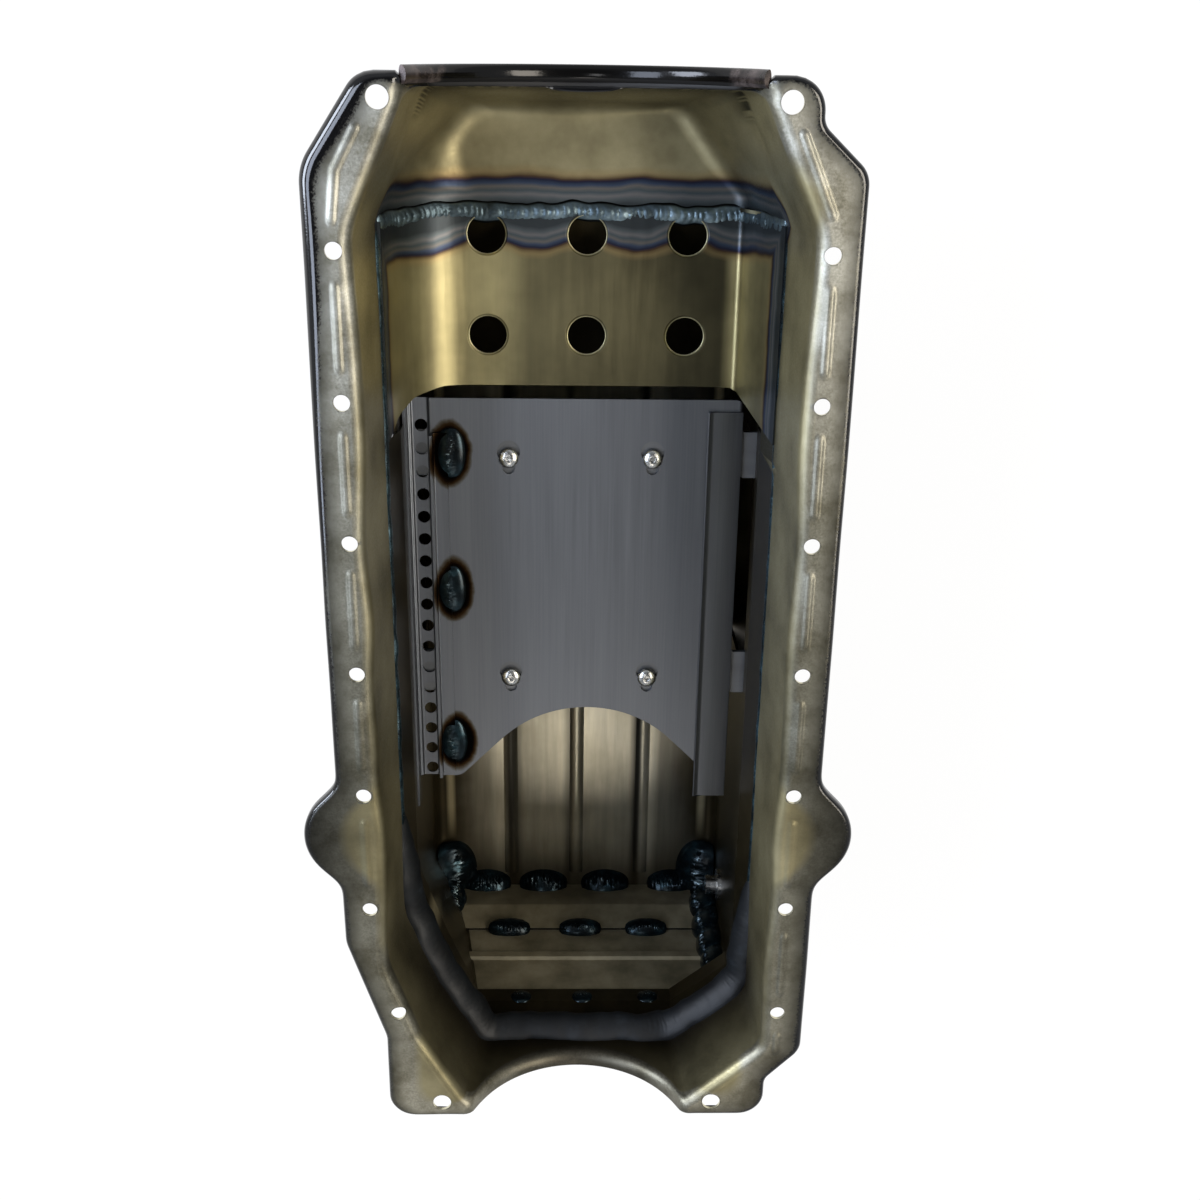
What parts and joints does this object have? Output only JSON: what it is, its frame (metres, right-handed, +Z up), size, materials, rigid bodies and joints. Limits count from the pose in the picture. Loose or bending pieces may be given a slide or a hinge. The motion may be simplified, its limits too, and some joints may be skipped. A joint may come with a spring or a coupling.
{
  "type": "engine oil pan",
  "caption": "Deep wet-sump engine oil pan: bolted rail, shallow front well, welded rear sump with side kick-outs and a bolted windage tray.",
  "frame": {"origin": "middle of the pan's footprint, on the underside of the sump floor", "axes": "+X to the right-hand rail seen from above with the front up, +Y to the front (timing cover) end, +Z up out of the gasket face"},
  "size_m": [0.2736, 0.532, 0.2028],
  "materials": {
    "stamping_steel": "oiled, grey-olive, lightly stained",
    "lip_steel": "dark, glossy, brazed ends",
    "sheet_steel": "oiled sheet, olive, satin",
    "bar_steel": "oiled bar, satin",
    "tray_steel": "brushed lengthways, blue-grey",
    "fastener_steel": "zinc plated, oiled",
    "washer_alloy": "plain",
    "weld_metal": "rippled, blue-grey, heat tinted"
  },
  "bodies": {
    "root": {"rail_stamping": "stamping_steel", "front_seal_lip": "lip_steel", "baffle_plate": "sheet_steel", "sump_collar": "sheet_steel", "corner_gusset": "sheet_steel", "sump_trough": "sheet_steel", "sump_front_wall": "sheet_steel", "sump_rear_wall": "sheet_steel", "rear_angle_strip": "sheet_steel", "kickout_left": "sheet_steel", "kickout_right": "sheet_steel", "crossbar_front": "bar_steel", "crossbar_rear": "bar_steel", "windage_tray": "tray_steel", "left_scraper": "tray_steel", "right_scraper": "tray_steel", "tray_screws": "fastener_steel", "tray_nuts": "fastener_steel", "tray_tack_welds": "weld_metal", "floor_tack_welds": "weld_metal", "wall_tack_welds": "weld_metal", "plug_welds": "weld_metal", "front_seam_weld": "weld_metal", "left_corner_weld": "weld_metal", "right_corner_weld": "weld_metal", "drain_bung": "fastener_steel", "drain_washer": "washer_alloy", "drain_plug": "fastener_steel", "left_seam_weld": "weld_metal", "right_seam_weld": "weld_metal", "rear_seam_weld": "weld_metal"}
  },
  "joints": []
}
